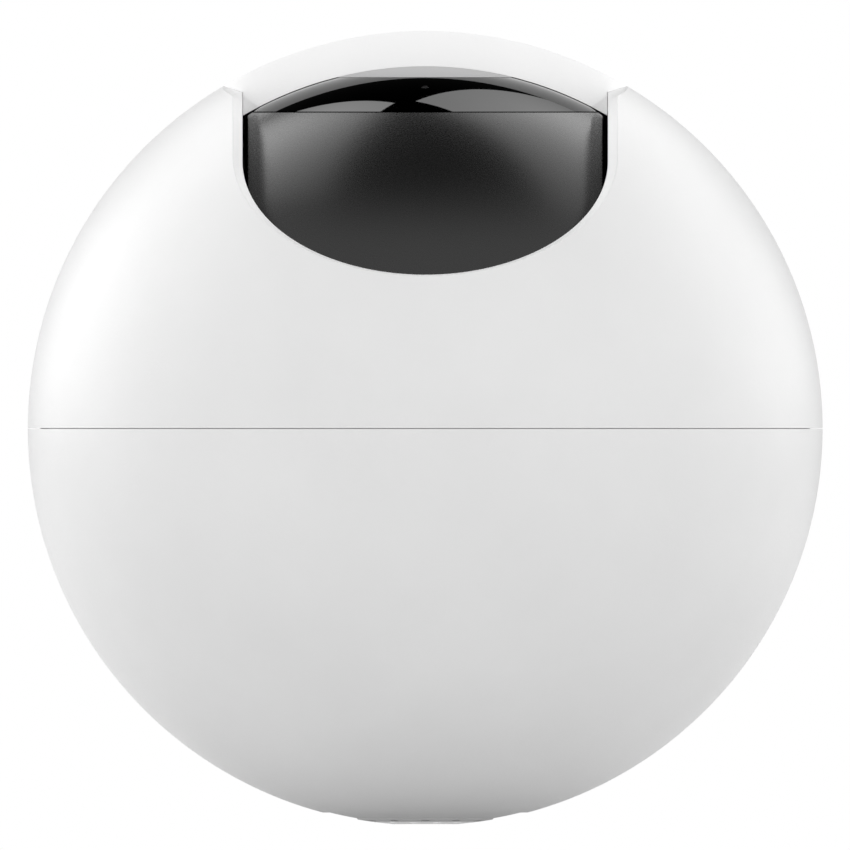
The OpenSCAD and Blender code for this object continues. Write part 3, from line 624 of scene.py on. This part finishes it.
# Crown cover and its wiper lip -----------------------------------------------------
def make_crown():
    crown = lathe("crown_skin", arc(BALL_R, 0, 60, 120) + [(0, 0)])
    carve(crown, "DIFFERENCE", ball("inside", SHELL_IN))
    carve(crown, "INTERSECT", rear_seat_tool())
    seat_at_slot = seat_z - (seat_x - SLOT_HALF) * seat_fall
    arc_z = seat_at_slot - CORNER_DROP + math.sqrt(CORNER_ARC ** 2 - SLOT_HALF ** 2)
    half = SLOT_HALF - CURTAIN_GAP
    curtain = box("curtain", (-half, 0, SLOT_FLOOR), (half, CURTAIN_T, FAR))
    carve(curtain, "INTERSECT", rod("corner", CORNER_ARC, -1, CURTAIN_T + 1, "Y", (0, arc_z), ROUND))
    web = box("web", (-half, CORNER_STEP, CURTAIN_IN - 8), (half, CURTAIN_T, seat_at_slot - ROOT))
    carve(curtain, "UNION", web)
    carve(curtain, "INTERSECT", ball("curtain_out", BALL_R - CURTAIN_SINK))
    carve(curtain, "DIFFERENCE", ball("curtain_core", CURTAIN_IN))
    carve(crown, "UNION", curtain)
    shade(crown, (BALL_R, SHELL_IN, CURTAIN_IN))
    # the crown gets the white with the painted glow on its front wall
    finish_piece(crown, "crown_skin", "head", "crown_cover", CROWN_PAINTED_GLOW)


LIP_GAP = 0.03                          # over the flat, and behind the curtain's face
LIP_BACK = 1.2
LIP_TOP_R = CURTAIN_IN + 0.02


def make_lip():
    """Thin soft blade over the flat of the eye."""
    foot = FLAT_Z + LIP_GAP
    reach = math.sqrt(CURTAIN_IN ** 2 - foot ** 2)
    lip = box("lip_skin", (-reach, LIP_GAP, foot), (reach, LIP_BACK, CURTAIN_IN + 0.4))
    carve(lip, "INTERSECT", rod("lip_top", LIP_TOP_R, 0, 2, "Y", (0, 0), ROUND))
    shade(lip)
    finish_piece(lip, "lip_skin", "head", "wiper_lip", SOFT_WHITE)
    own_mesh(lip)


# Lower shell, bottom grille and rear ports -----------------------------------------
DISH_R = 11.4
DISH = 0.2                              # depth of the dish round the grille
GRILLE_R = 7.75
HOLE_GAP = 0.06
POCKET = (13, 6.8)                      # width and height of the power socket's pocket
MOUTH_GAP = 0.4
MOUTH_H = 3.66
PAD = (8, 34.6, 4.2)                    # half width, inner face and half height
GUIDE_R = 3.0
BUTTON_HOLE_R = 1.6


def stadium_tool(name, width, height, at, y0, y1):
    """Block along Y with round ends, at x and z."""
    shift = (width - height) / 2
    low = (at[0] - shift, y0, at[1] - height / 2)
    tool = box(name, low, (at[0] + shift, y1, at[1] + height / 2))
    ends = [rod(name, height / 2, y0, y1, "Y", (at[0] + s * shift, at[1]), 48) for s in (-1, 1)]
    return carve(tool, "UNION", *ends)


def make_lower_shell():
    shell = lathe("lower_shell_skin", shell_profile(-1))
    usb_z = (socket_low.z + socket_high.z) / 2
    floor = socket_high.y
    usb_half = (socket_high.x - socket_low.x) / 2
    pad_half, pad_in, pad_h = PAD
    pad = box("pad", (-pad_half, pad_in, usb_z - pad_h), (pad_half, FAR, usb_z + pad_h))
    carve(pad, "INTERSECT", ball("pad_out", SHELL_IN + 0.5))
    button_at = ((button_low.x + button_high.x) / 2, (button_low.z + button_high.z) / 2)
    guide = rod("guide", GUIDE_R, button_low.y + 1.6, FAR, "Y", button_at)
    carve(guide, "INTERSECT", ball("guide_out", SHELL_IN + 0.5))
    carve(shell, "UNION", pad, guide)
    # Dished surround of the grille, with a sloping edge, and the grille's hole
    dish_h = math.sqrt((BALL_R - DISH) ** 2 - DISH_R ** 2)
    dish = [(r, -h) for r, h in arc(BALL_R - DISH, 0, math.degrees(math.asin(DISH_R / BALL_R)), 40)]
    dish += [(DISH_R + 0.35, -dish_h - 0.25), (DISH_R + 0.5, -FAR), (0, -FAR)]
    carve(shell, "DIFFERENCE", lathe("dish", dish))
    carve(shell, "DIFFERENCE", rod("grille_hole", GRILLE_R + HOLE_GAP, -FAR, -SHELL_IN + 4, sides=ROUND))
    card_from = (card_low.x + 0.2, 20, card_low.z + 0.2)
    carve(shell, "DIFFERENCE", stadium_tool("pocket", *POCKET, (0, usb_z), floor, FAR),
          stadium_tool("mouth", 2 * usb_half + MOUTH_GAP, MOUTH_H, (0, usb_z), 30, floor + 1),
          box("card", card_from, (card_high.x - 0.2, FAR, card_high.z - 0.3)),
          rod("button_hole", BUTTON_HOLE_R, 0, FAR, "Y", button_at))
    shade(shell, (BALL_R, SHELL_IN, BALL_R - DISH))
    finish_piece(shell, "lower_shell_skin", "base", "lower_shell", WHITE)


SOUND_RINGS = ((6.94, 0), (5.03, 15))   # radius of the ring and its turn in degrees
SOUND_HOLES = 12
SOUND_R = 0.485
INSERT_R = 3.75


FLANGE_OVER = 1.75                      # the grille's flange, wider than its face
FLANGE_T = 1.2
GRILLE_SOFT = 0.12
GRILLE_SINK = 0.07                      # the grille lies this far inside the ball


def make_grille():
    face_r = BALL_R - GRILLE_SINK
    face_to = math.degrees(math.asin((GRILLE_R - GRILLE_SOFT) / face_r))
    face = [(r, -h) for r, h in arc(face_r, 0, face_to, 30)]
    edge_h = math.sqrt(face_r ** 2 - GRILLE_R ** 2)
    seat = grille_high.z - FLANGE_T
    outline = face + [(GRILLE_R, -edge_h + GRILLE_SOFT), (GRILLE_R, seat), (GRILLE_R + FLANGE_OVER, seat)]
    outline += [(GRILLE_R + FLANGE_OVER, grille_high.z), (0, grille_high.z)]
    grille = lathe("grille_skin", outline)
    holes = [rod("centre", INSERT_R, -FAR, 0, sides=96)]
    for ring, start in SOUND_RINGS:
        for i in range(SOUND_HOLES):
            a = math.radians(start - 90 + 360 * i / SOUND_HOLES)
            holes.append(rod("hole", SOUND_R, -FAR, 0, "Z", (ring * math.cos(a), ring * math.sin(a)), 24))
    carve(grille, "DIFFERENCE", *holes)
    shade(grille, (face_r,))
    finish_piece(grille, "grille_skin", "base", "grille_cap", WHITE)


def make_button():
    """Reset button with a dished, softly edged face and its collar."""
    x, z = (button_low.x + button_high.x) / 2, (button_low.z + button_high.z) / 2
    back, face = button_low.y, button_high.y
    collar_r = (button_high.x - button_low.x) / 2
    outline = [(0, back), (collar_r - 0.1, back), (collar_r, back + 0.1), (collar_r, back + 1.2)]
    outline += [(collar_r - 0.1, back + 1.3), (1.5, back + 1.3), (1.5, face - 0.2)]
    outline += [(1.44, face - 0.06), (1.3, face)]
    outline += [(1.1, face - 0.02), (0.6, face - 0.14), (0, face - 0.18)]
    place = Matrix.Translation((x, 0, z)) @ Matrix.Rotation(math.radians(-90), 4, "X")
    button = lathe("button_skin", outline, place, 96)
    shade(button)
    finish_piece(button, "button_skin", "reset_button", "reset_button", BUTTON)


# Eye ------------------------------------------------------------------------------
band_start = EYE_HALF - BAND_W
band_r = math.sqrt(EYE_R ** 2 - band_start ** 2)
edge_r = band_r - BAND_W * math.tan(math.radians(BAND_SLOPE))
EDGE_SOFT = 0.1


def eye_body(name):
    """The eye's full outer form, turned about the tilt axis, with a softened band."""
    start = math.degrees(math.asin((band_start - 0.25) / EYE_R))
    dome = [(r, x) for x, r in arc(EYE_R, -start, start, 160)]
    side = [(band_r - 0.01, band_start), (edge_r + EDGE_SOFT, EYE_HALF - EDGE_SOFT)]
    side.append((edge_r - 0.06, EYE_HALF))
    outline = [(0, -EYE_HALF)] + [(r, -x) for r, x in reversed(side)] + dome + side + [(0, EYE_HALF)]
    return lathe(name, outline, ABOUT_X)


def eye_cavity():
    between = box("cavity_box", (-SIDE_IN, -FAR, -FAR), (SIDE_IN, FAR, FAR))
    return carve(ball("cavity", EYE_IN), "INTERSECT", between)


HUB_DISC_R = 10.0
WEB_END = (7, -4)                       # where the side walls meet the hub disc


def eye_side_view():
    """Slab in the eye's side view, without the apron."""
    web_y, web_z = WEB_END
    outline = [on_side(APRON_FROM, FAR), (-web_y, web_z), (web_y, web_z)]
    outline += [on_side(-REAR_TO, FAR), (0, BULGE * FAR)]
    view = prism("side_view", outline, -FAR, FAR)
    hub = rod("hub_disc", HUB_DISC_R, -FAR - 1, FAR + 1, "X", (0, 0), ROUND)
    return carve(view, "UNION", hub)


GROOVE = (0.12, 0.5)                    # height and depth of the line under the cap
PIN_HOLE_R = 3.05
EYE_SHARP = 12.0                        # degrees; keeps the band's edges crisp


def make_eye_shell():
    eye = eye_body("eye_shell_skin")
    apron = sector("apron", APRON_FROM - 1, APRON_TO)
    carve(apron, "DIFFERENCE", ball("apron_core", APRON_IN))
    area = carve(eye_side_view(), "UNION", apron)
    carve(eye, "INTERSECT", area)
    carve(eye, "DIFFERENCE", eye_cavity(), box("above", (-FAR, -FAR, CAP_Z), (FAR, FAR, FAR)))
    groove = box("groove", (-FAR, -FAR, CAP_Z - GROOVE[0]), (FAR, FAR, CAP_Z + 1))
    carve(groove, "DIFFERENCE", ball("groove_core", EYE_R - GROOVE[1]))
    carve(eye, "DIFFERENCE", groove, rod("pin_hole", PIN_HOLE_R, -FAR, FAR, "X"))
    shade(eye, (EYE_R, EYE_IN), EYE_SHARP)
    finish_piece(eye, "eye_shell_skin", "eye", "eye_shell", BLACK)


LIGHT_ANGLE = 19.1
LIGHT_R = 0.45
GLASS_EDGE = 0.8                        # width of the shelf that the glass lies on
GLASS_GAP = 0.03


def make_eye_cap():
    cap = eye_body("eye_cap_skin")
    carve(cap, "INTERSECT", box("cap_box", (-FAR, -FAR, CAP_Z), (FAR, FAR, FLAT_Z)))
    hole = lathe("hole", [(0, 0), (LIGHT_R, 0), (LIGHT_R, FAR), (0, FAR)],
                 Matrix.Rotation(math.radians(LIGHT_ANGLE), 4, "X"), 48)
    inner, outer = GLASS_R - GLASS_EDGE, GLASS_R + GLASS_GAP
    seat = [(0, 0), (inner, 0), (inner, glass_low.z), (outer, glass_low.z)]
    seat += [(outer, FLAT_Z - 0.06), (GLASS_R + 0.09, FAR), (0, FAR)]
    carve(cap, "DIFFERENCE", eye_cavity(), lathe("window_seat", seat), hole)
    shade(cap, (EYE_R, EYE_IN), EYE_SHARP)
    finish_piece(cap, "eye_cap_skin", "eye", "eye_cap", GLOSS)


def make_window():
    """Flat glass with a fine polished bevel."""
    r, low, high = GLASS_R, glass_low.z, glass_high.z
    outline = [(0, low), (r - 0.1, low), (r, low + 0.1), (r, high - 0.08), (r - 0.08, high), (0, high)]
    window = lathe("window_skin", outline)
    shade(window)
    finish_piece(window, "window_skin", "eye", "lens_window", SMOKED)


make_upper_shell()
make_crown()
make_lip()
make_lower_shell()
make_grille()
make_button()
make_eye_shell()
make_eye_cap()
make_window()


# Studio -----------------------------------------------------------------------------
FLOOR_GAP = 0.0004
FLOOR_HALF = 0.6
FLOOR_GLOW = 0.2                        # light table: fills the underside of the ball


def make_floor():
    z = shell_low.z * MM - FLOOR_GAP
    h = FLOOR_HALF
    mesh = bpy.data.meshes.new("floor")
    mesh.from_pydata([(-h, -h, z), (h, -h, z), (h, h, z), (-h, h, z)], [], [(0, 1, 2, 3)])
    floor = bpy.data.objects.new("floor", mesh)
    bpy.context.scene.collection.objects.link(floor)
    material = plastic("floor_paper", grey(0.54), grey(0.56), (0.8, 0.9), 300.0, 0.00002, 0.2)
    floor.data.materials.append(material)
    paper = material.node_tree.nodes["Principled BSDF"]
    paper.inputs["Emission Color"].default_value = (1, 1, 1, 1)
    paper.inputs["Emission Strength"].default_value = FLOOR_GLOW


def glow_material(name, centre, reach, strength, edge):
    """Light that falls off from the centre of a lamp to its edge."""
    material = bpy.data.materials.new(name)
    material.use_nodes = True
    nodes, links = material.node_tree.nodes, material.node_tree.links
    nodes.clear()
    out = nodes.new("ShaderNodeOutputMaterial")
    glow = nodes.new("ShaderNodeEmission")
    place = nodes.new("ShaderNodeTexCoord")
    away = nodes.new("ShaderNodeVectorMath")
    away.operation = "DISTANCE"
    away.inputs[1].default_value = centre
    fall = nodes.new("ShaderNodeMapRange")
    fall.inputs["From Min"].default_value = 0.0
    fall.inputs["From Max"].default_value = reach
    fall.inputs["To Min"].default_value = strength
    fall.inputs["To Max"].default_value = strength * edge
    links.new(place.outputs["Object"], away.inputs[0])
    links.new(away.outputs["Value"], fall.inputs["Value"])
    links.new(fall.outputs["Result"], glow.inputs["Strength"])
    links.new(glow.outputs["Emission"], out.inputs["Surface"])
    return material


def softbox(name, outline, height, strength, edge):
    """Flat lamp overhead; outline is its corners over a plane one unit up, scaled to the height."""
    mesh = bpy.data.meshes.new(name)
    points = [(x * height, y * height, height) for x, y in outline]
    mesh.from_pydata(points, [], [tuple(range(len(points)))])
    lamp = bpy.data.objects.new(name, mesh)
    bpy.context.scene.collection.objects.link(lamp)
    centre = [sum(p[i] for p in points) / len(points) for i in range(3)]
    reach = max((Vector(p) - Vector(centre)).length for p in points)
    lamp.data.materials.append(glow_material(name, centre, reach, strength, edge))


LAMP_HEIGHT = 0.7
LEFT_BOX = ((-0.094, 0.762), (-0.62, 1.69), (-1.5, 0.9), (-0.42, -0.12))
RIGHT_BOX = ((-0.029, 0.766), (0.53, 2.31), (1.7, 1.2), (0.60, -0.14))


DARK_WAY = (0, 0.33, 0.944)
DARK_FROM = 0.66
DARK_TO = 0.94
ROOM_LIGHT = 1.34
BACK_FROM = 0.05
BACK_TO = 0.5


def make_world():
    world = bpy.data.worlds.new("studio")
    bpy.context.scene.world = world
    world.use_nodes = True
    nodes, links = world.node_tree.nodes, world.node_tree.links
    nodes.clear()
    out = nodes.new("ShaderNodeOutputWorld")
    seen = nodes.new("ShaderNodeBackground")
    seen.inputs["Color"].default_value = (1, 1, 1, 1)
    room = nodes.new("ShaderNodeBackground")
    place = nodes.new("ShaderNodeTexCoord")
    # The room is bright all round and dark in a patch over and behind the ball
    toward = nodes.new("ShaderNodeVectorMath")
    toward.operation = "DOT_PRODUCT"
    toward.inputs[1].default_value = Vector(DARK_WAY).normalized()
    links.new(place.outputs["Generated"], toward.inputs[0])
    light = nodes.new("ShaderNodeMapRange")
    light.interpolation_type = "SMOOTHSTEP"
    light.inputs["From Min"].default_value = DARK_FROM
    light.inputs["From Max"].default_value = DARK_TO
    light.inputs["To Min"].default_value = ROOM_LIGHT
    light.inputs["To Max"].default_value = 0.03
    links.new(toward.outputs["Value"], light.inputs["Value"])
    split = nodes.new("ShaderNodeSeparateXYZ")
    links.new(place.outputs["Generated"], split.inputs["Vector"])
    behind = nodes.new("ShaderNodeMapRange")
    behind.interpolation_type = "SMOOTHSTEP"
    behind.inputs["From Min"].default_value = BACK_FROM
    behind.inputs["From Max"].default_value = BACK_TO
    behind.inputs["To Min"].default_value = 1.0
    behind.inputs["To Max"].default_value = 0.02
    links.new(split.outputs["Y"], behind.inputs["Value"])
    product = nodes.new("ShaderNodeMath")
    product.operation = "MULTIPLY"
    links.new(light.outputs["Result"], product.inputs[0])
    links.new(behind.outputs["Result"], product.inputs[1])
    links.new(product.outputs["Value"], room.inputs["Strength"])
    ray = nodes.new("ShaderNodeLightPath")
    mix = nodes.new("ShaderNodeMixShader")
    links.new(ray.outputs["Is Camera Ray"], mix.inputs["Fac"])
    links.new(room.outputs["Background"], mix.inputs[1])
    links.new(seen.outputs["Background"], mix.inputs[2])
    links.new(mix.outputs["Shader"], out.inputs["Surface"])


def side_panel(name, side, strength):
    """Bright upright panel beside and behind the ball, outside the picture."""
    mesh = bpy.data.meshes.new(name)
    near, far = (side * PANEL_NEAR[0], PANEL_NEAR[1]), (side * PANEL_FAR[0], PANEL_FAR[1])
    corners_xy = [(*near, 0.0), (*far, 0.0), (*far, PANEL_HIGH), (*near, PANEL_HIGH)]
    mesh.from_pydata(corners_xy, [], [(0, 1, 2, 3)])
    lamp = bpy.data.objects.new(name, mesh)
    bpy.context.scene.collection.objects.link(lamp)
    lamp.data.materials.append(glow_material(name, (0, 0, 0), 10.0, strength, 1.0))


PANEL_NEAR = (0.75, 0.12)
PANEL_FAR = (0.5, 0.68)
PANEL_HIGH = 0.5

make_floor()
side_panel("panel_left", -1, 2.8)
side_panel("panel_right", 1, 2.1)
softbox("softbox_left", LEFT_BOX, LAMP_HEIGHT, 3.2, 0.25)
softbox("softbox_right", RIGHT_BOX, LAMP_HEIGHT, 2.6, 0.3)
make_world()

scene = bpy.context.scene
scene.view_settings.view_transform = "Standard"
scene.view_settings.look = "None"
scene.view_settings.exposure = 0.0
